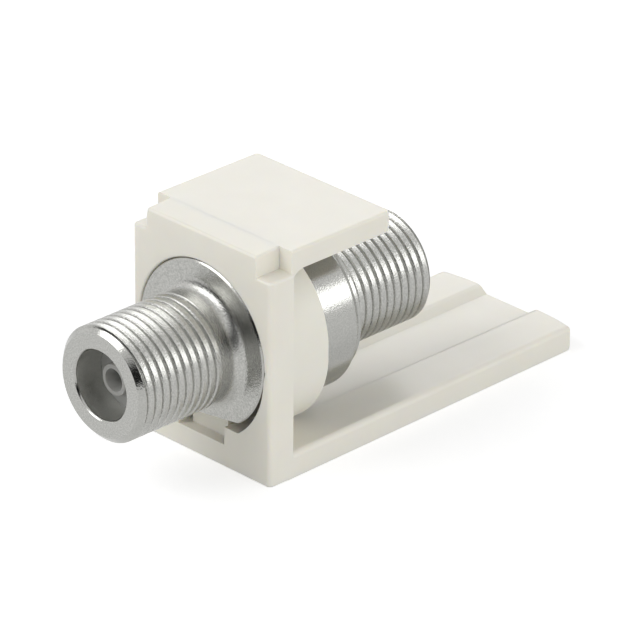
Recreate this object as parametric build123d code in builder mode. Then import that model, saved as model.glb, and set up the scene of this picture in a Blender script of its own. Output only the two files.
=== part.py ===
# F coupler module: a two-piece metal coaxial coupler held in a moulded snap-in housing.
# Frame: X is the width, Y runs from the front port to the rear port, Z is up.
# The origin is the middle of the model's footprint, on the flat underside of the tongue.
from build123d import *
import math
import os

os.makedirs("parts", exist_ok=True)

# Housing: front plate
plate_side_margin = 0.25
plate_thickness = 2.48
notch_width = 1.62
notch_height = 1.9
plate_edge_radius = 0.42

# Housing: top block
block_side_inset = 0.25
block_depth = 13.2
block_thickness = 1.8
block_edge_radius = 0.25
block_corner_radius = 0.5
gusset_radius = 1.15
strip_slope = 0.11

# Housing: collar behind the plate
collar_end = 6.6
collar_wall = 0.52
collar_top_gap = 0.34
collar_web_width = 6.0
collar_web_depth = 1.6

# Housing: tongue, channel and rails
tongue_length = 34.4
tongue_side_taper = 0.44
rail_height = 2.1
rail_edge_radius = 0.5
channel_floor_width = 4.8
channel_slope_width = 0.78
channel_depth = 0.61
tongue_corner_radius = 0.35
tongue_heel_radius = 0.75

# Housing: slot and key tab under the coupler
slot_width = 5.2
slot_floor = 1.9
sill_height = 3.45
tab_width = 4.0
tab_setback = 1.0

# Coupler: place and outside
axis_height = 9.78
front_reach = 10.55
rear_reach = 20.65
thread_radius = 4.7625
end_chamfer = 0.5
rear_chamfer = 0.3
front_neck_length = 2.0
rear_neck_length = 1.2
neck_radius = 4.45
neck_fillet = 1.0
body_radius = 6.9
body_end = 10.13
body_bevel_length = 0.6
body_bevel_depth = 0.47
flange_edge_bevel = 0.12
flat_distance = 5.95
flat_length = 3.4
flat_turn = 8.0
joint_collar_radius = 6.35
joint_collar_length = 0.5

# Coupler: inside
bore_radius = 2.85
chamber_radius = 3.35
chamber_inset = 6.9
spigot_radius = 5.3
spigot_length = 5.5
spigot_lead = 0.2
insulator_recess = 2.7
nose_length = 1.3
nose_radius = 1.55
nose_tip_radius = 1.3
entry_radius = 0.72
entry_mouth_radius = 0.95
entry_length = 1.6
contact_outer_radius = 0.9
contact_bore_radius = 0.55
contact_web = 3.0
contact_slot_width = 0.22
contact_slot_length = 4.2

# Fits
spigot_clearance = 0.01
hole_clearance = 0.04
hole_drop = 0.75
key_clearance = 0.05
insulator_clearance = 0.02
contact_clearance = 0.02

# Places worked out from the sizes
plate_front = (front_reach - tongue_length) / 2
plate_rear = plate_front + plate_thickness
tongue_rear = plate_front + tongue_length
block_rear = plate_front + block_depth
collar_rear = plate_front + collar_end
front_end = plate_front - front_reach
rear_end = plate_front + rear_reach
middle = (front_end + rear_end) / 2
body_rear = plate_front + body_end + body_bevel_length
hole_radius = body_radius + hole_clearance
collar_radius = hole_radius + collar_wall
plate_width = 2 * (collar_radius + plate_side_margin)
block_width = plate_width - 2 * block_side_inset
block_bottom = axis_height + collar_radius + collar_top_gap
block_top = block_bottom + block_thickness
shelf_height = block_top - notch_height
tongue_end_width = plate_width - 2 * tongue_side_taper
channel_floor = rail_height - channel_depth
channel_top_width = channel_floor_width + 2 * channel_slope_width
axis_line = Axis((0, 0, axis_height), (0, 1, 0))
front_neck_start = plate_front - front_neck_length
front_step = front_end + chamber_inset
rear_step = rear_end - chamber_inset
spigot_front = body_rear - spigot_length
counterbore_front = spigot_front - spigot_lead
joint_collar_rear = body_rear + joint_collar_length
rear_neck_end = joint_collar_rear + rear_neck_length
lowest_flat = flat_distance / math.cos(math.radians(flat_turn))
flat_rise = math.tan(math.radians(flat_turn)) * tab_width / 2
tab_top = axis_height - lowest_flat - flat_rise - key_clearance


def across(y):
    """Plane square to the coupler's axis at y, with X to the right and Z up."""
    return Plane.XZ.offset(-y)


def on_profile(y, radius):
    """Point of a turned profile, at y along the axis and radius away from it."""
    return (y, axis_height + radius)


def edges_at(edges, **places):
    """Edges whose middle lies at the given places, such as X=3 or absX=3."""
    found = edges
    for name, value in places.items():
        letter = name[-1]
        if name.startswith("abs"):
            found = found.filter_by(lambda e: abs(abs(getattr(e.center(), letter)) - value) < 0.02)
        else:
            found = found.filter_by(lambda e: abs(getattr(e.center(), letter) - value) < 0.02)
    return found


# Housing: one moulding with plate, block, collar, key tab and tongue
with BuildPart() as housing:
    strip_half = plate_width / 2 - notch_width
    with BuildSketch(across(plate_front)):
        with BuildLine():
            Polyline(
                (0, 0),
                (plate_width / 2, 0),
                (plate_width / 2, shelf_height),
                (strip_half, shelf_height),
                (strip_half, block_top),
                (0, block_top),
                (0, 0),
            )
        make_face()
        mirror(about=Plane.YZ)
    extrude(amount=-plate_thickness)

    with BuildSketch(Plane.XY.offset(block_bottom)):
        with Locations((0, plate_rear)):
            Rectangle(block_width, block_rear - plate_rear, align=(Align.CENTER, Align.MIN))
    extrude(amount=block_thickness)

    with BuildSketch(Plane.XY):
        with BuildLine():
            Polyline(
                (-plate_width / 2, plate_front),
                (plate_width / 2, plate_front),
                (tongue_end_width / 2, tongue_rear),
                (-tongue_end_width / 2, tongue_rear),
                close=True,
            )
        make_face()
    extrude(amount=rail_height)

    with BuildSketch(Plane.YZ):
        with BuildLine():
            corner = (plate_rear, block_bottom)
            low = (plate_rear, block_bottom - gusset_radius)
            far = (plate_rear + gusset_radius, block_bottom)
            Polyline(low, corner, far)
            CenterArc((far[0], low[1]), gusset_radius, 90, 90)
        make_face()
    extrude(amount=block_width / 2, both=True)

    with BuildSketch(across(plate_rear)):
        with Locations((0, axis_height - hole_drop / 2)):
            SlotCenterToCenter(hole_drop, 2 * collar_radius, rotation=90)
    extrude(amount=plate_rear - collar_rear)

    with BuildSketch(across(plate_rear)):
        with Locations((0, block_bottom)):
            Rectangle(collar_web_width, collar_web_depth, align=(Align.CENTER, Align.MAX))
    extrude(amount=plate_rear - collar_rear)

    plate_sides = edges_at(housing.edges().filter_by(Axis.Z), absX=plate_width / 2, Y=plate_front)
    fillet(plate_sides, plate_edge_radius)
    tongue_ends = edges_at(housing.edges().filter_by(Axis.Z), absX=tongue_end_width / 2)
    fillet(tongue_ends, tongue_corner_radius)
    rail_outer = housing.edges().filter_by_position(Axis.Z, rail_height, rail_height)
    rail_side = tongue_end_width / 2 - tongue_corner_radius
    rail_outer = rail_outer.filter_by(lambda e: abs(e.center().X) > rail_side)
    fillet(rail_outer, rail_edge_radius)

    with BuildSketch(Plane.YZ):
        with BuildLine():
            heel = (tongue_rear - tongue_heel_radius, tongue_heel_radius)
            Polyline((heel[0], 0), (tongue_rear, 0), (tongue_rear, heel[1]))
            CenterArc(heel, tongue_heel_radius, 270, 90)
        make_face()
    extrude(amount=plate_width, both=True, mode=Mode.SUBTRACT)

    with BuildSketch(Plane.YZ):
        with BuildLine():
            Polyline(
                (plate_front, block_top),
                (plate_front, block_top - strip_slope),
                (plate_rear, block_top),
                close=True,
            )
        make_face()
    extrude(amount=plate_width, both=True, mode=Mode.SUBTRACT)

    block_corners = edges_at(housing.edges().filter_by(Axis.Z), absX=block_width / 2, Y=block_rear)
    fillet(block_corners, block_corner_radius)
    block_rim = housing.edges().filter_by_position(Axis.Z, block_top, block_top)
    block_rim = block_rim.filter_by(lambda e: e.center().Y > plate_rear + 0.02)
    fillet(block_rim, block_edge_radius)
    strip_edge = edges_at(housing.edges().filter_by(Axis.X), Y=plate_front, Z=block_top - strip_slope)
    fillet(strip_edge, block_edge_radius)

    with BuildSketch(across(plate_front)):
        with Locations((0, axis_height - hole_drop / 2)):
            SlotCenterToCenter(hole_drop, 2 * hole_radius, rotation=90)
        with Locations((0, sill_height)):
            Rectangle(plate_width, sill_height, align=(Align.CENTER, Align.MAX), mode=Mode.SUBTRACT)
        with Locations((0, axis_height)):
            Circle(hole_radius)
        with Locations((0, slot_floor)):
            Rectangle(slot_width, sill_height - slot_floor, align=(Align.CENTER, Align.MIN))
    extrude(amount=-plate_thickness, mode=Mode.SUBTRACT)

    with BuildSketch(across(plate_rear)):
        with Locations((0, axis_height - hole_drop / 2)):
            SlotCenterToCenter(hole_drop, 2 * hole_radius, rotation=90)
    extrude(amount=plate_rear - collar_rear, mode=Mode.SUBTRACT)

    with BuildSketch(across(plate_front + tab_setback)):
        with Locations((0, slot_floor)):
            Rectangle(tab_width, tab_top - slot_floor, align=(Align.CENTER, Align.MIN))
    extrude(amount=tab_setback - plate_thickness)

    with BuildSketch(across(collar_rear)):
        with BuildLine():
            Polyline(
                (-channel_floor_width / 2, channel_floor),
                (channel_floor_width / 2, channel_floor),
                (channel_top_width / 2, rail_height),
                (-channel_top_width / 2, rail_height),
                close=True,
            )
        make_face()
    extrude(amount=collar_rear - tongue_rear, mode=Mode.SUBTRACT)

housing.part.label = "housing"
export_step(housing.part, "parts/housing.step")


# Front body: threaded barrel, neck, flange with its flat, and the round body behind the collar
with BuildPart() as front_body:
    with BuildSketch(Plane.YZ):
        with BuildLine():
            Polyline(
                on_profile(plate_front - neck_fillet, neck_radius),
                on_profile(front_neck_start, neck_radius),
                on_profile(front_neck_start, thread_radius),
                on_profile(front_end + end_chamfer, thread_radius),
                on_profile(front_end, thread_radius - end_chamfer),
                on_profile(front_end, bore_radius),
                on_profile(front_step, bore_radius),
                on_profile(front_step, chamber_radius),
                on_profile(counterbore_front, chamber_radius),
                on_profile(counterbore_front, spigot_radius + spigot_clearance),
                on_profile(body_rear, spigot_radius + spigot_clearance),
                on_profile(body_rear, body_radius - body_bevel_depth),
                on_profile(body_rear - body_bevel_length, body_radius),
                on_profile(plate_front + flange_edge_bevel, body_radius),
                on_profile(plate_front, body_radius - flange_edge_bevel),
                on_profile(plate_front, neck_radius + neck_fillet),
            )
            fillet_centre = on_profile(plate_front - neck_fillet, neck_radius + neck_fillet)
            CenterArc(fillet_centre, neck_fillet, 270, 90)
        make_face()
    revolve(axis=axis_line)
    with Locations(Location((0, plate_front, axis_height), (0, -flat_turn, 0))):
        with Locations((0, 0, -flat_distance)):
            Box(
                2 * body_radius,
                flat_length,
                body_radius,
                align=(Align.CENTER, Align.MIN, Align.MAX),
                mode=Mode.SUBTRACT,
            )

front_body.part.label = "front_body"
export_step(front_body.part, "parts/front_body.step")


# Rear port: spigot pressed into the body, thin collar, neck and threaded barrel
with BuildPart() as rear_port:
    with BuildSketch(Plane.YZ):
        with BuildLine():
            Polyline(
                on_profile(spigot_front, chamber_radius),
                on_profile(spigot_front, spigot_radius),
                on_profile(body_rear, spigot_radius),
                on_profile(body_rear, joint_collar_radius),
                on_profile(joint_collar_rear, joint_collar_radius),
                on_profile(joint_collar_rear, neck_radius),
                on_profile(rear_neck_end, neck_radius),
                on_profile(rear_neck_end, thread_radius),
                on_profile(rear_end - rear_chamfer, thread_radius),
                on_profile(rear_end, thread_radius - rear_chamfer),
                on_profile(rear_end, bore_radius),
                on_profile(rear_step, bore_radius),
                on_profile(rear_step, chamber_radius),
                close=True,
            )
        make_face()
    revolve(axis=axis_line)

rear_port.part.label = "rear_port"
export_step(rear_port.part, "parts/rear_port.step")


# Front insulator: stepped bush with a nose, a conical entry and the seat of the contact
insulator_face = front_end + insulator_recess
nose_tip = insulator_face - nose_length
contact_front = nose_tip + entry_length
contact_rear = 2 * middle - contact_front

with BuildPart() as front_insulator:
    with BuildSketch(Plane.YZ):
        with BuildLine():
            Polyline(
                on_profile(nose_tip, entry_mouth_radius),
                on_profile(nose_tip, nose_tip_radius),
                on_profile(insulator_face, nose_radius),
                on_profile(insulator_face, bore_radius - insulator_clearance),
                on_profile(front_step, bore_radius - insulator_clearance),
                on_profile(front_step, chamber_radius - insulator_clearance),
                on_profile(middle, chamber_radius - insulator_clearance),
                on_profile(middle, contact_outer_radius + contact_clearance),
                on_profile(contact_front, contact_outer_radius + contact_clearance),
                on_profile(contact_front, entry_radius),
                on_profile(nose_tip + entry_length / 2, entry_radius),
                close=True,
            )
        make_face()
    revolve(axis=axis_line)

front_insulator.part.label = "front_insulator"
export_step(front_insulator.part, "parts/front_insulator.step")


# Rear insulator: the same bush turned round
with BuildPart() as rear_insulator:
    add(mirror(front_insulator.part, about=Plane.XZ.offset(-middle), mode=Mode.PRIVATE))

rear_insulator.part.label = "rear_insulator"
export_step(rear_insulator.part, "parts/rear_insulator.step")


# Contact: double-ended sleeve, each end split into spring leaves
with BuildPart() as contact:
    with BuildSketch(across(contact_front)):
        with Locations((0, axis_height)):
            Circle(contact_outer_radius)
    extrude(amount=contact_front - contact_rear)
    for end, into in ((contact_front, 1), (contact_rear, -1)):
        bore_depth = (contact_rear - contact_front - contact_web) / 2
        with BuildSketch(across(end)):
            with Locations((0, axis_height)):
                Circle(contact_bore_radius)
        extrude(amount=-into * bore_depth, mode=Mode.SUBTRACT)
        with BuildSketch(across(end)):
            with Locations((0, axis_height)):
                Rectangle(contact_slot_width, 3 * contact_outer_radius)
        extrude(amount=-into * contact_slot_length, mode=Mode.SUBTRACT)

contact.part.label = "contact"
export_step(contact.part, "parts/contact.step")
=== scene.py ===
from math import ceil, cos, pi, radians, sin

import bmesh
import bpy
from mathutils import Matrix, Vector


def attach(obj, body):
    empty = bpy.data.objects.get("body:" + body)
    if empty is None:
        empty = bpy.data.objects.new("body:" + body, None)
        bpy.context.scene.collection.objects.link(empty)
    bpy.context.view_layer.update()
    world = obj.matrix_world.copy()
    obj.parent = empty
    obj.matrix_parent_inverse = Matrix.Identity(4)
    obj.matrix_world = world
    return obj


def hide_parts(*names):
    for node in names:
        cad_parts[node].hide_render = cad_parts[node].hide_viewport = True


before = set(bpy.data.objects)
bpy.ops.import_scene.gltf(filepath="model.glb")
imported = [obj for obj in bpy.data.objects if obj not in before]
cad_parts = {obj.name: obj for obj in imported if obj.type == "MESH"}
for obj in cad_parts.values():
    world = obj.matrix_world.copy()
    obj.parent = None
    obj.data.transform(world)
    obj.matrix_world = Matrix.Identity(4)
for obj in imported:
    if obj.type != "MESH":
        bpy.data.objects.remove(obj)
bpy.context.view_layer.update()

# Camera: a long lens in front of the coupler, to its right and above it, where the photograph
# was taken from. It is rolled by under half a degree and shifted by under half a percent.
camera_place = (0.29132, -0.28688, 0.21074)
camera_turn = 45.374
camera_dip = 26.388
camera_roll = 0.419
bpy.ops.object.camera_add()
camera = bpy.context.object
camera.name = "camera"
camera.data.sensor_width = 36
camera.data.lens = 326.61
camera.data.shift_x = 0.00433
camera.data.shift_y = -0.00369
camera.data.clip_start = 0.01
camera.matrix_world = (
    Matrix.Translation(camera_place)
    @ Matrix.Rotation(radians(camera_turn), 4, "Z")
    @ Matrix.Rotation(radians(90 - camera_dip), 4, "X")
    @ Matrix.Rotation(radians(camera_roll), 4, "Z")
)
bpy.context.scene.camera = camera
bpy.context.scene.view_settings.view_transform = "Standard"

# Housing: one injection moulding in ivory plastic, with a front plate that has a round hole, a
# thick top block, a collar behind the hole, and a long tongue with a shallow channel. It is
# drawn in millimetres on the frame's axes, and scaled to metres when it is done.
axis_height = 9.78
plate_front = -11.925
plate_rear = plate_front + 2.48
plate_half = 7.71
plate_edge_radius = 0.42
block_top = 19.38
block_bottom = block_top - 1.8
block_rear = plate_front + 13.2
block_half = plate_half - 0.25
block_corner_radius = 0.5
block_edge_radius = 0.25
underside_edge_radius = 0.12
shelf_height = block_top - 1.9
shelf_edge_radius = 0.22
strip_half = plate_half - 1.62
strip_root = 15
strip_slope = 0.11
strip_front_radius = 0.25
strip_side_radius = 0.2
gusset_radius = 1.15
gusset_overlap = 0.1
gusset_sunk = 0.01
hole_radius = 6.94
hole_drop = 0.75
hole_edge_radius = 0.2
collar_rear = plate_front + 6.6
collar_radius = hole_radius + 0.52
collar_edge_radius = 0.2
web_half = 3
web_bottom = block_bottom - 1.6
rail_height = 2.1
rail_edge_radius = 0.5
tongue_rear = plate_front + 34.4
tongue_end_half = plate_half - 0.44
tongue_corner_radius = 0.5
heel_radius = 0.75
channel_floor = rail_height - 0.61
channel_floor_half = 2.4
channel_top_half = channel_floor_half + 0.78
channel_edge_radius = 0.3
sill_height = 3.45
slot_floor = 1.9
slot_half = 2.6
tab_front = plate_front + 1
tab_half = 2
tab_top = sill_height - 0.01
tab_root = 0.2
# How far a joined part starts inside another, and how far a cutter reaches past the plastic.
root = 0.5
past = 1
short_past = 0.3


def only(piece):
    """Selects one object and nothing else."""
    bpy.ops.object.select_all(action="DESELECT")
    piece.select_set(True)
    bpy.context.view_layer.objects.active = piece


def edit(piece):
    """Opens one mesh in edit mode."""
    only(piece)
    bpy.ops.object.mode_set(mode="EDIT")


def done():
    """Closes edit mode."""
    bpy.ops.object.mode_set(mode="OBJECT")


def near(a, b):
    """Says whether two places are the same to a few micrometres."""
    return abs(a - b) < 0.004


def off_axis(at):
    """Says how far a place lies from the coupler's axis."""
    return (at.x ** 2 + (at.z - axis_height) ** 2) ** 0.5


def pick(kind, test):
    """In edit mode, selects the verts, edges or faces whose middle passes the test."""
    mesh = bmesh.from_edit_mesh(bpy.context.edit_object.data)
    bpy.ops.mesh.select_mode(type={"verts": "VERT", "edges": "EDGE", "faces": "FACE"}[kind])
    bpy.ops.mesh.select_all(action="DESELECT")
    for part in getattr(mesh, kind):
        points = [part.co] if kind == "verts" else [corner.co for corner in part.verts]
        if test(sum(points, Vector()) / len(points)):
            part.select_set(True)
    mesh.select_flush_mode()
    bmesh.update_edit_mesh(bpy.context.edit_object.data)


def round_edges(radius, segments, test):
    """In edit mode, rounds the edges whose middle passes the test."""
    pick("edges", test)
    bpy.ops.mesh.bevel(offset=radius, segments=segments, profile=0.5, affect="EDGES")


def brick(name, low, high):
    """Adds a cube that fills the space between two corners."""
    bpy.ops.object.select_all(action="DESELECT")
    bpy.ops.mesh.primitive_cube_add(size=1, location=[(a + b) / 2 for a, b in zip(low, high)])
    piece = bpy.context.object
    piece.name = name
    piece.scale = [b - a for a, b in zip(low, high)]
    bpy.ops.object.transform_apply(location=True, rotation=True, scale=True)
    return piece


def bar(name, radius, start, end, drop=0):
    """Adds a round bar along the coupler's axis, whose lower half may hang down by a drop."""
    bpy.ops.object.select_all(action="DESELECT")
    bpy.ops.mesh.primitive_cylinder_add(
        vertices=160,
        radius=radius,
        depth=end - start,
        location=(0, (start + end) / 2, axis_height),
        rotation=(pi / 2, 0, 0),
    )
    piece = bpy.context.object
    piece.name = name
    bpy.ops.object.transform_apply(location=True, rotation=True, scale=True)
    if drop:
        edit(piece)
        pick("verts", lambda at: at.z < axis_height - 0.01)
        bpy.ops.transform.translate(value=(0, 0, -drop))
        done()
    return piece


def roller(radius, place, height):
    """Adds a round bar that lies across the housing, at a place along it and a height."""
    bpy.ops.object.select_all(action="DESELECT")
    bpy.ops.mesh.primitive_cylinder_add(
        vertices=96, radius=radius, depth=20, location=(0, place, height), rotation=(0, pi / 2, 0)
    )
    return bpy.context.object


def combine(piece, other, operation):
    """Joins another solid to a piece, or cuts it out, and merges the points this doubles."""
    only(piece)
    bpy.ops.object.modifier_add(type="BOOLEAN")
    modifier = piece.modifiers[-1]
    modifier.operation = operation
    modifier.solver = "EXACT"
    modifier.object = other
    bpy.ops.object.modifier_apply(modifier=modifier.name)
    only(other)
    bpy.ops.object.delete()
    edit(piece)
    bpy.ops.mesh.select_all(action="SELECT")
    bpy.ops.mesh.remove_doubles(threshold=0.0005)
    bpy.ops.mesh.dissolve_degenerate(threshold=0.0005)
    bpy.ops.mesh.dissolve_limited(angle_limit=radians(0.05))
    done()


housing = brick("housing_shell", (-plate_half, plate_front, 0), (plate_half, plate_rear, shelf_height))
edit(housing)
round_edges(plate_edge_radius, 6, lambda at: near(at.y, plate_front) and near(abs(at.x), plate_half))
round_edges(shelf_edge_radius, 4, lambda at: near(at.z, shelf_height) and not near(at.y, plate_rear))
round_edges(underside_edge_radius, 3, lambda at: near(at.z, 0) and not near(at.y, plate_rear))
done()

strip = brick("strip", (-strip_half, plate_front, strip_root), (strip_half, plate_rear, block_top))
edit(strip)
pick("verts", lambda at: near(at.y, plate_front) and at.z > shelf_height)
bpy.ops.transform.translate(value=(0, 0, -strip_slope))
round_edges(strip_front_radius, 4, lambda at: near(at.y, plate_front) and at.z > shelf_height)
round_edges(strip_side_radius, 4, lambda at: near(abs(at.x), strip_half) and at.z > shelf_height)
done()
combine(housing, strip, "UNION")

block = brick("block", (-block_half, plate_rear, block_bottom), (block_half, block_rear, block_top))
edit(block)
round_edges(block_corner_radius, 6, lambda at: near(abs(at.x), block_half) and near(at.y, block_rear))
round_edges(block_edge_radius, 4, lambda at: near(at.z, block_top) and not near(at.y, plate_rear))
round_edges(underside_edge_radius, 3, lambda at: near(at.z, block_bottom) and not near(at.y, plate_rear))
done()
combine(housing, block, "UNION")

gusset_rear = plate_rear + gusset_radius
gusset_low = block_bottom - gusset_radius
gusset = brick(
    "gusset",
    (-block_half, plate_rear - gusset_sunk, gusset_low),
    (block_half, gusset_rear, block_bottom + root),
)
combine(gusset, roller(gusset_radius, gusset_rear, gusset_low), "DIFFERENCE")
edit(gusset)
pick("verts", lambda at: at.z > block_bottom + gusset_overlap)
bpy.ops.transform.translate(value=(0, 0, gusset_overlap - root))
done()
combine(housing, gusset, "UNION")

collar = bar("collar", collar_radius, plate_rear - 2 * root, collar_rear, hole_drop)
edit(collar)
round_edges(collar_edge_radius, 4, lambda at: near(at.y, collar_rear))
done()
combine(housing, collar, "UNION")
web = brick(
    "web",
    (-web_half, plate_rear - root, web_bottom),
    (web_half, collar_rear, block_bottom + short_past),
)
combine(housing, web, "UNION")

tongue_front = plate_rear - root
taper = (plate_half - tongue_end_half) / (tongue_rear - plate_front)
tongue_half = plate_half - taper * (tongue_front - plate_front)
tongue = brick("tongue", (-tongue_half, tongue_front, 0), (tongue_half, tongue_rear, rail_height))
edit(tongue)
pick("verts", lambda at: near(at.y, tongue_rear))
bpy.ops.transform.resize(
    value=(tongue_end_half / tongue_half, 1, 1), center_override=(0, tongue_rear, 0)
)
round_edges(
    tongue_corner_radius, 5, lambda at: near(abs(at.x), tongue_end_half) and near(at.y, tongue_rear)
)
round_edges(
    rail_edge_radius, 6, lambda at: near(at.z, rail_height) and abs(at.x) > tongue_end_half - 1
)
done()
heel = brick(
    "heel",
    (-plate_half - past, tongue_rear - heel_radius, -past),
    (plate_half + past, tongue_rear + past, heel_radius),
)
combine(heel, roller(heel_radius, tongue_rear - heel_radius, heel_radius), "DIFFERENCE")
combine(tongue, heel, "DIFFERENCE")
channel_lean = (channel_top_half - channel_floor_half) / (rail_height - channel_floor)
channel_half = channel_floor_half + channel_lean * (rail_height + root - channel_floor)
channel = brick(
    "channel",
    (-channel_half, collar_rear, channel_floor),
    (channel_half, tongue_rear + past, rail_height + root),
)
edit(channel)
pick("verts", lambda at: near(at.z, channel_floor))
bpy.ops.transform.resize(
    value=(channel_floor_half / channel_half, 1, 1), center_override=(0, 0, channel_floor)
)
done()
combine(tongue, channel, "DIFFERENCE")
edit(tongue)
round_edges(
    channel_edge_radius, 4, lambda at: near(abs(at.x), channel_top_half) and near(at.z, rail_height)
)
done()
combine(housing, tongue, "UNION")

hole = bar("hole", hole_radius, plate_front - past, collar_rear + short_past, hole_drop)
sill = brick(
    "sill",
    (-plate_half - past, plate_front - 2 * past, 0),
    (plate_half + past, plate_rear, sill_height),
)
combine(hole, sill, "DIFFERENCE")
combine(housing, hole, "DIFFERENCE")
slot = brick(
    "slot",
    (-slot_half, plate_front - past, slot_floor),
    (slot_half, plate_rear, sill_height + short_past),
)
combine(housing, slot, "DIFFERENCE")
tab = brick("tab", (-tab_half, tab_front, slot_floor - tab_root), (tab_half, plate_rear, tab_top))
combine(housing, tab, "UNION")
edit(housing)
round_edges(hole_edge_radius, 4, lambda at: near(at.y, plate_front) and near(off_axis(at), hole_radius))
done()


def finished(piece, node_name):
    """Smooths a piece, scales it to metres, and lets it stand for its CAD node."""
    only(piece)
    bpy.ops.object.shade_smooth_by_angle(angle=radians(35))
    bpy.ops.object.modifier_add(type="WEIGHTED_NORMAL")
    piece.modifiers[-1].keep_sharp = True
    piece.modifiers[-1].weight = 100
    bpy.ops.object.modifier_apply(modifier=piece.modifiers[-1].name)
    piece.scale = (0.001, 0.001, 0.001)
    bpy.ops.object.transform_apply(location=True, rotation=True, scale=True)
    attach(piece, "root")
    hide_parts(node_name)


def node(material, kind, values, **settings):
    """Adds a node to a material or world, with its settings, and its inputs' values or links."""
    added = material.node_tree.nodes.new(kind)
    for name, value in settings.items():
        setattr(added, name, value)
    for name, value in values.items():
        if isinstance(value, bpy.types.NodeSocket):
            material.node_tree.links.new(value, added.inputs[name])
        else:
            added.inputs[name].default_value = value
    return added


def noise(material, scale, detail):
    """Adds a noise of a scale in patches per metre, on the piece's own coordinates."""
    place = node(material, "ShaderNodeTexCoord", {})
    pattern = node(material, "ShaderNodeTexNoise", {
        "Vector": place.outputs["Object"], "Scale": scale, "Detail": detail
    })
    return pattern.outputs["Fac"]


def feed(material, socket, name):
    """Links a node's output to an input of the material's shader."""
    material.node_tree.links.new(socket, material.node_tree.nodes["Principled BSDF"].inputs[name])


def tint(material, pattern, dark, light):
    """Colours a material from one colour to another by a pattern."""
    tone = node(material, "ShaderNodeMix", {"Factor": pattern, "A": dark, "B": light}, data_type="RGBA")
    feed(material, tone.outputs["Result"], "Base Color")


def polish(material, pattern, smooth, rough):
    """Sets a material's roughness between two values by a pattern."""
    gloss = node(material, "ShaderNodeMapRange", {"Value": pattern, "To Min": smooth, "To Max": rough})
    feed(material, gloss.outputs["Result"], "Roughness")


def emboss(material, pattern, strength, height):
    """Gives a material a relief of a height in metres by a pattern."""
    relief = node(material, "ShaderNodeBump", {
        "Height": pattern, "Strength": strength, "Distance": height
    })
    feed(material, relief.outputs["Normal"], "Normal")


ivory = bpy.data.materials.new("ivory_plastic")
ivory.use_nodes = True
shader = ivory.node_tree.nodes["Principled BSDF"]
shader.inputs["Subsurface Weight"].default_value = 0.3
shader.inputs["Subsurface Radius"].default_value = (1.0, 0.75, 0.35)
shader.inputs["Subsurface Scale"].default_value = 0.0008
shader.inputs["IOR"].default_value = 1.5
tint(ivory, noise(ivory, 260, 3), (0.79, 0.765, 0.68, 1), (0.84, 0.82, 0.745, 1))
grain = noise(ivory, 5200, 4)
polish(ivory, grain, 0.30, 0.45)
emboss(ivory, grain, 0.12, 0.00003)
housing.data.materials.clear()
housing.data.materials.append(ivory)
finished(housing, "housing")

# Front body: nickel-plated brass, turned with a neck, a flange and a round body, threaded with
# a rolled thread, bored out, and cut flat below the flange so the housing's key holds it.
thread_radius = 4.7625
thread_pitch = 0.79375
half_groove = (
    (0, -0.21), (0.035, -0.2), (0.11, -0.07), (0.13, -0.035), (0.16, -0.01), (0.21, -0.001), (0.397, 0)
)
thread_section = [(-along, depth) for along, depth in half_groove[:0:-1]] + list(half_groove)
thread_end_radius = 4.7
front_groove = -21.29
front_end = plate_front - 10.55
rear_end = plate_front + 20.65
front_neck = plate_front - 2
end_chamfer = 0.5
neck_radius = 4.45
neck_core_radius = 4.2
neck_fillet = 1
body_radius = 6.9
flange_edge_bevel = 0.12
body_rear = plate_front + 10.73
body_bevel_length = 0.6
body_bevel_depth = 0.47
bore_radius = 2.85
bore_depth = 6.9
mouth_radius = 2.99
mouth_depth = 0.1
chamber_radius = 3.35
spigot_radius = 5.3
spigot_core_radius = 4.4
spigot_clearance = 0.01
spigot_front = body_rear - 5.5
spigot_seat = spigot_front - 0.2
flat_distance = 5.95
flat_length = 3.4
flat_turn = 8
flat_cutter_half = 8
flat_cutter_low = -5


def turned(name, rings, hollow=False):
    """Turns a solid on the coupler's axis: a circle is extruded and scaled from ring to ring."""
    bpy.ops.object.select_all(action="DESELECT")
    place, radius = rings[0]
    bpy.ops.mesh.primitive_circle_add(
        vertices=160,
        radius=radius,
        fill_type="NOTHING" if hollow else "NGON",
        location=(0, place, axis_height),
        rotation=(pi / 2, 0, 0),
    )
    piece = bpy.context.object
    piece.name = name
    bpy.ops.object.transform_apply(location=True, rotation=True, scale=True)
    edit(piece)
    bpy.ops.mesh.select_mode(type="VERT")
    bpy.ops.mesh.select_all(action="SELECT")
    for next_place, next_radius in rings[1:]:
        bpy.ops.mesh.extrude_region_move(TRANSFORM_OT_translate={"value": (0, next_place - place, 0)})
        scale = next_radius / radius
        bpy.ops.transform.resize(value=(scale, 1, scale), center_override=(0, next_place, axis_height))
        place, radius = next_place, next_radius
    if hollow:
        bpy.ops.mesh.select_mode(type="EDGE")
        bpy.ops.mesh.select_all(action="DESELECT")
        bpy.ops.mesh.select_non_manifold()
        bpy.ops.mesh.bridge_edge_loops()
    bpy.ops.mesh.select_all(action="SELECT")
    bpy.ops.mesh.normals_make_consistent(inside=False)
    done()
    return piece


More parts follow.
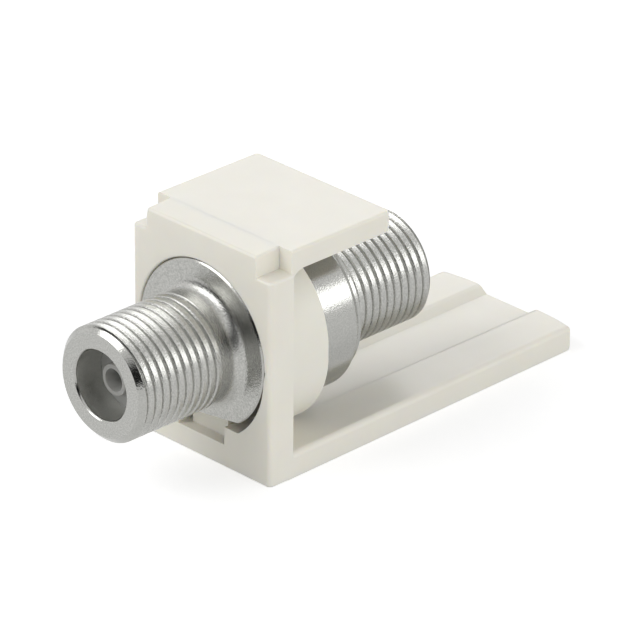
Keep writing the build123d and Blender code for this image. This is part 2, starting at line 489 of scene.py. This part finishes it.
def threaded_bar(name, start, end, groove):
    """Sweeps one pitch of the thread's outline round and along the axis, and cuts it to length.

    The thread's turns are set so that a groove passes the top at the given place."""
    bpy.ops.object.select_all(action="DESELECT")
    first = groove - thread_pitch * ceil((groove - start) / thread_pitch + 1)
    bpy.ops.mesh.primitive_plane_add(size=0.1, location=(0, first, axis_height))
    piece = bpy.context.object
    piece.name = name
    edit(piece)
    bpy.ops.mesh.select_mode(type="VERT")
    bpy.ops.mesh.select_all(action="SELECT")
    bpy.ops.mesh.merge(type="CENTER")
    offset, depth = thread_section[0]
    bpy.ops.transform.translate(value=(0, offset, thread_radius + depth))
    for next_offset, next_depth in thread_section[1:]:
        move = (0, next_offset - offset, next_depth - depth)
        bpy.ops.mesh.extrude_region_move(TRANSFORM_OT_translate={"value": move})
        offset, depth = next_offset, next_depth
    done()
    bpy.ops.object.modifier_add(type="SCREW")
    screw = piece.modifiers[-1]
    screw.axis = "Y"
    screw.screw_offset = thread_pitch
    screw.iterations = int((end - start) / thread_pitch) + 5
    screw.steps = screw.render_steps = 128
    screw.use_merge_vertices = True
    screw.merge_threshold = 0.002
    bpy.ops.object.modifier_apply(modifier=screw.name)
    bpy.ops.object.transform_apply(location=True, rotation=True, scale=True)
    edit(piece)
    bpy.ops.mesh.select_all(action="SELECT")
    bpy.ops.mesh.remove_doubles(threshold=0.002)
    bpy.ops.mesh.bisect(plane_co=(0, start, 0), plane_no=(0, 1, 0), use_fill=True, clear_inner=True)
    bpy.ops.mesh.select_all(action="SELECT")
    bpy.ops.mesh.bisect(plane_co=(0, end, 0), plane_no=(0, 1, 0), use_fill=True, clear_outer=True)
    bpy.ops.mesh.select_all(action="SELECT")
    bpy.ops.mesh.normals_make_consistent(inside=False)
    done()
    return piece


def arc(place, radius, size, start, end, steps):
    """Rings along an arc of a turned outline, from one angle to another, in degrees."""
    angles = [radians(start + (end - start) * step / steps) for step in range(steps + 1)]
    return [(place + size * cos(angle), radius + size * sin(angle)) for angle in angles]


front_body = threaded_bar("front_body_shell", front_end - root, front_neck + root, front_groove)
thread_room = turned("front_thread_room", [
    (front_end, thread_radius - end_chamfer),
    (front_end + end_chamfer + root, thread_radius + root),
    (front_neck - root, thread_radius + root),
    (front_neck, thread_end_radius),
])
combine(front_body, thread_room, "INTERSECT")
neck = turned("front_neck", [
    (front_neck - past, neck_core_radius),
    (front_neck - past, neck_radius),
    *arc(plate_front - neck_fillet, neck_radius + neck_fillet, neck_fillet, 270, 360, 10),
    (plate_front, body_radius - flange_edge_bevel),
    (plate_front + flange_edge_bevel, body_radius),
    (body_rear - body_bevel_length, body_radius),
    (body_rear, body_radius - body_bevel_depth),
])
combine(front_body, neck, "UNION")
bore = turned("front_bore", [
    (front_end - past, mouth_radius + past),
    (front_end + mouth_depth, mouth_radius - mouth_depth),
    (front_end + 2 * mouth_depth, bore_radius),
    (front_end + bore_depth, bore_radius),
    (front_end + bore_depth, chamber_radius),
    (spigot_seat, chamber_radius),
    (spigot_seat, spigot_radius + spigot_clearance),
    (body_rear + past, spigot_radius + spigot_clearance),
])
combine(front_body, bore, "DIFFERENCE")
flat = brick(
    "flat",
    (-flat_cutter_half, plate_front - root, flat_cutter_low),
    (flat_cutter_half, plate_front + flat_length, axis_height - flat_distance),
)
edit(flat)
bpy.ops.mesh.select_all(action="SELECT")
bpy.ops.transform.rotate(
    value=radians(flat_turn), orient_axis="Y", center_override=(0, plate_front, axis_height)
)
done()
combine(front_body, flat, "DIFFERENCE")


def nickel_finish(name, dark, light, smooth, relief_height):
    """Makes plated brass with fine specks, clouds in its gloss, and a grain of a given height."""
    nickel = bpy.data.materials.new(name)
    nickel.use_nodes = True
    nickel.node_tree.nodes["Principled BSDF"].inputs["Metallic"].default_value = 1
    grain = noise(nickel, 8500, 2)
    specks = node(nickel, "ShaderNodeMapRange", {"Value": grain, "From Min": 0.3, "From Max": 0.7})
    tint(nickel, specks.outputs["Result"], (*dark, 1), (*light, 1))
    polish(nickel, noise(nickel, 700, 3), smooth, smooth + 0.1)
    emboss(nickel, grain, 1, relief_height)
    return nickel


bright_nickel = nickel_finish("bright_nickel", (0.42, 0.42, 0.40), (0.52, 0.52, 0.495), 0.09, 0.000012)
satin_nickel = nickel_finish("satin_nickel", (0.41, 0.41, 0.39), (0.60, 0.60, 0.575), 0.19, 0.000024)
drilled_nickel = nickel_finish("drilled_nickel", (0.75, 0.75, 0.72), (0.83, 0.83, 0.80), 0.3, 0.00001)


def plate(piece, satin_start, satin_end, flat_faces):
    """Plates a turned piece bright outside, and paler in its bore and on its inner shoulders.

    Between two places along it, and on the flat faces at the places given, it is satin."""
    piece.data.materials.clear()
    for finish in (bright_nickel, satin_nickel, drilled_nickel):
        piece.data.materials.append(finish)
    inside = 1.5 * mouth_depth
    edit(piece)
    pick("faces", lambda at: off_axis(at) < bore_radius + 0.03
         and front_end + inside < at.y < rear_end - inside)
    piece.active_material_index = 2
    bpy.ops.object.material_slot_assign()
    pick("faces", lambda at: satin_start < at.y < satin_end and off_axis(at) > neck_radius - 0.05
         or any(near(at.y, place) for place in flat_faces))
    piece.active_material_index = 1
    bpy.ops.object.material_slot_assign()
    done()


plate(front_body, front_end + end_chamfer + 0.05, plate_front + 0.05, (front_end, plate_front))
finished(front_body, "front_body")

# Rear port: the second turned piece, of the same plated brass, pressed into the front body by
# its spigot up to a thin collar, with the rear thread behind a smooth neck.
joint_rear = body_rear + 0.5
joint_radius = 6.35
joint_bevel = 0.1
rear_neck = joint_rear + 1.2
rear_fillet = 0.25
rear_chamfer = 0.3
rear_groove = 1.165
rear_port = threaded_bar("rear_port_shell", rear_neck - root, rear_end + root, rear_groove)
thread_room = turned("rear_thread_room", [
    (rear_neck, thread_end_radius),
    (rear_neck + root, thread_radius + root),
    (rear_end - rear_chamfer - root, thread_radius + root),
    (rear_end, thread_radius - rear_chamfer),
])
combine(rear_port, thread_room, "INTERSECT")
neck = turned("rear_neck", [
    (spigot_front, spigot_core_radius),
    (spigot_front, spigot_radius),
    (body_rear, spigot_radius),
    (body_rear, joint_radius - joint_bevel),
    (body_rear + joint_bevel, joint_radius),
    (joint_rear - joint_bevel, joint_radius),
    (joint_rear, joint_radius - joint_bevel),
    *arc(joint_rear + rear_fillet, neck_radius + rear_fillet, rear_fillet, 180, 270, 4),
    (rear_neck + past, neck_radius),
])
combine(rear_port, neck, "UNION")
bore = turned("rear_bore", [
    (spigot_front - past, chamber_radius),
    (rear_end - bore_depth, chamber_radius),
    (rear_end - bore_depth, bore_radius),
    (rear_end - 2 * mouth_depth, bore_radius),
    (rear_end - mouth_depth, mouth_radius - mouth_depth),
    (rear_end + past, mouth_radius + past),
])
combine(rear_port, bore, "DIFFERENCE")
plate(rear_port, joint_rear + 0.05, rear_end - rear_chamfer + 0.1, (rear_end,))
finished(rear_port, "rear_port")

# Insulators: two bushes of milky white plastic that hold the contact on the axis, the front one
# with a short nose and a conical entry for the cable's wire. The rear one faces the other way.
# Their colour is a painted shade: dark grey, standing for the shadow deep inside the bore.
middle = (front_end + rear_end) / 2
insulator_clearance = 0.02
nose_tip = front_end + 1.4
nose_length = 1.3
nose_radius = 1.55
nose_tip_radius = 1.3
nose_round = 0.08
entry_mouth_radius = 0.95
entry_radius = 0.72
cone_length = 0.8
entry_length = 1.6
contact_radius = 0.9
dielectric = bpy.data.materials.new("dielectric")
dielectric.use_nodes = True
shader = dielectric.node_tree.nodes["Principled BSDF"]
shader.inputs["Subsurface Weight"].default_value = 0.4
shader.inputs["Subsurface Radius"].default_value = (1.0, 0.9, 0.8)
shader.inputs["Subsurface Scale"].default_value = 0.0006
clouds = noise(dielectric, 900, 3)
# Dark grey tint: painted shade for the shadow in the bore, not the plastic's own milky white.
tint(dielectric, clouds, (0.28, 0.28, 0.265, 1), (0.34, 0.34, 0.325, 1))
polish(dielectric, clouds, 0.35, 0.5)
for name, turn in (("front_insulator", 1), ("rear_insulator", -1)):
    rings = [
        (nose_tip, entry_mouth_radius),
        (nose_tip, nose_tip_radius - nose_round),
        *arc(nose_tip + nose_round, nose_tip_radius - nose_round, nose_round, 180, 90, 3),
        (nose_tip + nose_length, nose_radius),
        (nose_tip + nose_length, bore_radius - insulator_clearance),
        (front_end + bore_depth, bore_radius - insulator_clearance),
        (front_end + bore_depth, chamber_radius - insulator_clearance),
        (middle, chamber_radius - insulator_clearance),
        (middle, contact_radius + insulator_clearance),
        (nose_tip + entry_length, contact_radius + insulator_clearance),
        (nose_tip + entry_length, entry_radius),
        (nose_tip + cone_length, entry_radius),
    ]
    rings = [(middle + turn * (at - middle), radius) for at, radius in rings]
    insulator = turned(name + "_bush", rings, hollow=True)
    insulator.data.materials.append(dielectric)
    finished(insulator, name)

# Contact: a sleeve of tinned bronze drilled from both ends, each end slit so that its two
# leaves spring on the wire. Only its mouths can be seen, inside the insulators' entries.
contact_front = nose_tip + entry_length
contact_rear = 2 * middle - contact_front
contact_bevel = 0.08
contact_bore_radius = 0.55
web_half_length = 1.5
slit_half = 0.11
slit_length = 4.2
contact = turned("contact_sleeve", [
    (contact_front, contact_radius - contact_bevel),
    (contact_front + contact_bevel, contact_radius),
    (contact_rear - contact_bevel, contact_radius),
    (contact_rear, contact_radius - contact_bevel),
])
for start, end in (
    (contact_front - past, middle - web_half_length),
    (middle + web_half_length, contact_rear + past),
):
    combine(contact, bar("drill", contact_bore_radius, start, end), "DIFFERENCE")
for start, end in (
    (contact_front - past, contact_front + slit_length),
    (contact_rear - slit_length, contact_rear + past),
):
    slit = brick(
        "slit",
        (-slit_half, start, axis_height - contact_radius - past),
        (slit_half, end, axis_height + contact_radius + past),
    )
    combine(contact, slit, "DIFFERENCE")
bronze = bpy.data.materials.new("contact_metal")
bronze.use_nodes = True
bronze.node_tree.nodes["Principled BSDF"].inputs["Metallic"].default_value = 1
clouds = noise(bronze, 1500, 3)
tint(bronze, clouds, (0.62, 0.52, 0.34, 1), (0.72, 0.64, 0.46, 1))
polish(bronze, clouds, 0.2, 0.35)
contact.data.materials.clear()
contact.data.materials.append(bronze)
finished(contact, "contact")

# Floor: a plain white sweep. It shows white to the camera and pale grey in the metal, and
# keeps the coupler's soft shadow.
shown_glow = 0.5
mirrored_glow = 0.3
bpy.ops.object.select_all(action="DESELECT")
bpy.ops.mesh.primitive_plane_add(size=8)
floor = bpy.context.object
floor.name = "floor"
paper = bpy.data.materials.new("white_paper")
paper.use_nodes = True
paper.node_tree.nodes.remove(paper.node_tree.nodes["Principled BSDF"])
rays = node(paper, "ShaderNodeLightPath", {})
seen = node(paper, "ShaderNodeMath", {
    0: rays.outputs["Is Camera Ray"], 1: rays.outputs["Is Transmission Ray"]
}, operation="ADD", use_clamp=True)
direct = node(paper, "ShaderNodeMath", {0: seen.outputs[0], 1: shown_glow}, operation="MULTIPLY")
glow = node(paper, "ShaderNodeMath", {
    0: rays.outputs["Is Glossy Ray"], 1: mirrored_glow, 2: direct.outputs[0]
}, operation="MULTIPLY_ADD")
matt = node(paper, "ShaderNodeBsdfDiffuse", {"Color": (0.75, 0.75, 0.75, 1)})
lit = node(paper, "ShaderNodeEmission", {"Strength": glow.outputs[0]})
both = node(paper, "ShaderNodeAddShader", {0: matt.outputs[0], 1: lit.outputs[0]})
output = paper.node_tree.nodes["Material Output"]
paper.node_tree.links.new(both.outputs[0], output.inputs["Surface"])
floor.data.materials.append(paper)

# Studio light: a soft white tent that is dark low down in front, so the metal has dark lines,
# and four soft lamps. The two behind the coupler run along the round metal as bright bands, one
# in front lights the plate, and one at the right side lights the plastic alone.
tent = bpy.data.worlds.new("tent")
bpy.context.scene.world = tent
tent.use_nodes = True
tent.cycles.sampling_method = "NONE"
toward = node(tent, "ShaderNodeSeparateXYZ", {
    "Vector": node(tent, "ShaderNodeTexCoord", {}).outputs["Generated"]
})
upper = node(tent, "ShaderNodeMapRange", {
    "Value": toward.outputs["Z"], "From Min": 0.3, "From Max": 0.8, "To Min": 1.0, "To Max": 0.85
})
slant = node(tent, "ShaderNodeMath", {0: toward.outputs["X"], 1: 0.5}, operation="MULTIPLY")
ahead = node(tent, "ShaderNodeMath", {0: slant.outputs[0], 1: toward.outputs["Y"]}, operation="SUBTRACT")
front = node(tent, "ShaderNodeMapRange", {"Value": ahead.outputs[0], "From Min": 0.1, "From Max": 0.35})
low = node(tent, "ShaderNodeMapRange", {
    "Value": toward.outputs["Z"], "From Min": 0.62, "From Max": 0.42
})
dark = node(tent, "ShaderNodeMath", {
    0: front.outputs["Result"], 1: low.outputs["Result"]
}, operation="MULTIPLY")
shade = node(tent, "ShaderNodeMapRange", {"Value": dark.outputs[0], "To Min": 1.0, "To Max": 0.02})
mirrored = node(tent, "ShaderNodeMath", {
    0: upper.outputs["Result"], 1: shade.outputs["Result"]
}, operation="MULTIPLY")
tipped = node(tent, "ShaderNodeMath", {
    0: toward.outputs["Y"], 1: 0.3, 2: toward.outputs["Z"]
}, operation="MULTIPLY_ADD")
soft = node(tent, "ShaderNodeMapRange", {
    "Value": tipped.outputs[0], "From Min": -0.3, "From Max": 1.0, "To Min": 0.97, "To Max": 0.35
})
rays = node(tent, "ShaderNodeLightPath", {})
level = node(tent, "ShaderNodeMix", {
    "Factor": rays.outputs["Is Diffuse Ray"], "A": mirrored.outputs[0], "B": soft.outputs["Result"]
})
backing = tent.node_tree.nodes["Background"]
backing.inputs["Color"].default_value = (1, 1, 1, 1)
tent.node_tree.links.new(level.outputs[0], backing.inputs["Strength"])


def lamp(name, azimuth, elevation, width, height, brightness):
    """Adds a soft lamp that faces the coupler, of a size in metres and a plain brightness.

    Its azimuth runs from straight behind the coupler towards the right."""
    distance = 0.6
    aim = Vector((0, 0, 0.01))
    away = Vector((
        sin(radians(azimuth)) * cos(radians(elevation)),
        cos(radians(azimuth)) * cos(radians(elevation)),
        sin(radians(elevation)),
    ))
    bpy.ops.object.light_add(type="AREA")
    added = bpy.context.object
    added.name = name
    added.data.shape = "RECTANGLE"
    added.data.size = width
    added.data.size_y = height
    added.data.energy = brightness * pi * width * height
    added.location = aim + distance * away
    added.rotation_euler = away.to_track_quat("Z", "Y").to_euler()
    return added


lamp("right_lamp", azimuth=47, elevation=18, width=0.35, height=0.17, brightness=2.2)
left_lamp = lamp("left_lamp", azimuth=-30, elevation=34, width=0.5, height=0.45, brightness=1.9)
left_lamp.visible_diffuse = False
lamp("front_lamp", azimuth=-150, elevation=42, width=0.42, height=0.32, brightness=2.9)
side_lamp = lamp("side_lamp", azimuth=96, elevation=22, width=0.4, height=0.4, brightness=1.6)
side_lamp.visible_glossy = False
